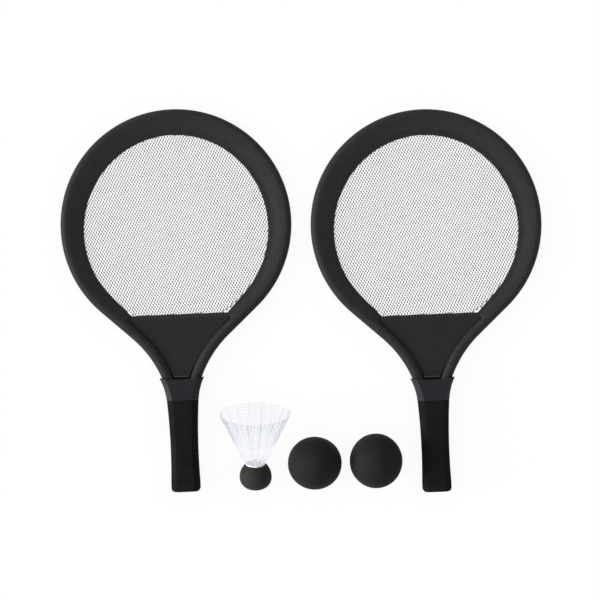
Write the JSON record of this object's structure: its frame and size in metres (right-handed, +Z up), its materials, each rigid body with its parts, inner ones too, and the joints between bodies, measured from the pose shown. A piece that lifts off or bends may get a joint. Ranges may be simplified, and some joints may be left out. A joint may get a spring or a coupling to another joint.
{
  "type": "racket, shuttlecock and ball set",
  "caption": "Flat-laid beach racket set: round fabric-rimmed rackets with net faces and moulded handles, an open-skirt shuttlecock and foam balls.",
  "frame": {"origin": "on the surface the set lies on, under the middle of the whole set", "axes": "+X from the left racket to the right one, +Y from the handles to the heads, +Z up"},
  "size_m": [0.5289, 0.4205, 0.0742],
  "materials": {
    "tube": "plain drawn tube, hidden inside the cover",
    "rim_fabric": "matte black woven fabric over thin foam",
    "net_fabric": "white open knitted mesh, slightly glossy yarn",
    "panel_fabric": "smooth bluish black coated fabric",
    "handle_plastic": "satin moulded black plastic",
    "grip_foam": "matte black foam with fine ribs across",
    "skirt_plastic": "bluish white translucent moulded plastic",
    "nose_foam": "matte black foam with fine pores",
    "ball_foam": "matte black foam with fine pores"
  },
  "bodies": {
    "racket_left": {"left_hoop_tube": "tube", "left_rim_cover": "rim_fabric", "left_net": "net_fabric", "left_panel_front": "panel_fabric", "left_panel_back": "panel_fabric", "left_handle_body": "handle_plastic", "left_grip_sleeve": "grip_foam", "left_butt_cap": "grip_foam"},
    "racket_right": {"right_hoop_tube": "tube", "right_rim_cover": "rim_fabric", "right_net": "net_fabric", "right_panel_front": "panel_fabric", "right_panel_back": "panel_fabric", "right_handle_body": "handle_plastic", "right_grip_sleeve": "grip_foam", "right_butt_cap": "grip_foam"},
    "shuttlecock": {"shuttle_skirt": "skirt_plastic", "shuttle_nose": "nose_foam"},
    "left_ball": {"ball_left": "ball_foam"},
    "right_ball": {"ball_right": "ball_foam"}
  },
  "joints": [
    {"name": "racket_right_lift", "type": "slide", "parent": "racket_left", "child": "racket_right", "axis": [0, 0, 1], "range_m": [0, 0.15]},
    {"name": "shuttlecock_lift", "type": "slide", "parent": "racket_left", "child": "shuttlecock", "axis": [0, 0, 1], "range_m": [0, 0.15]},
    {"name": "left_ball_lift", "type": "slide", "parent": "racket_left", "child": "left_ball", "axis": [0, 0, 1], "range_m": [0, 0.15]},
    {"name": "right_ball_lift", "type": "slide", "parent": "racket_left", "child": "right_ball", "axis": [0, 0, 1], "range_m": [0, 0.15]}
  ]
}
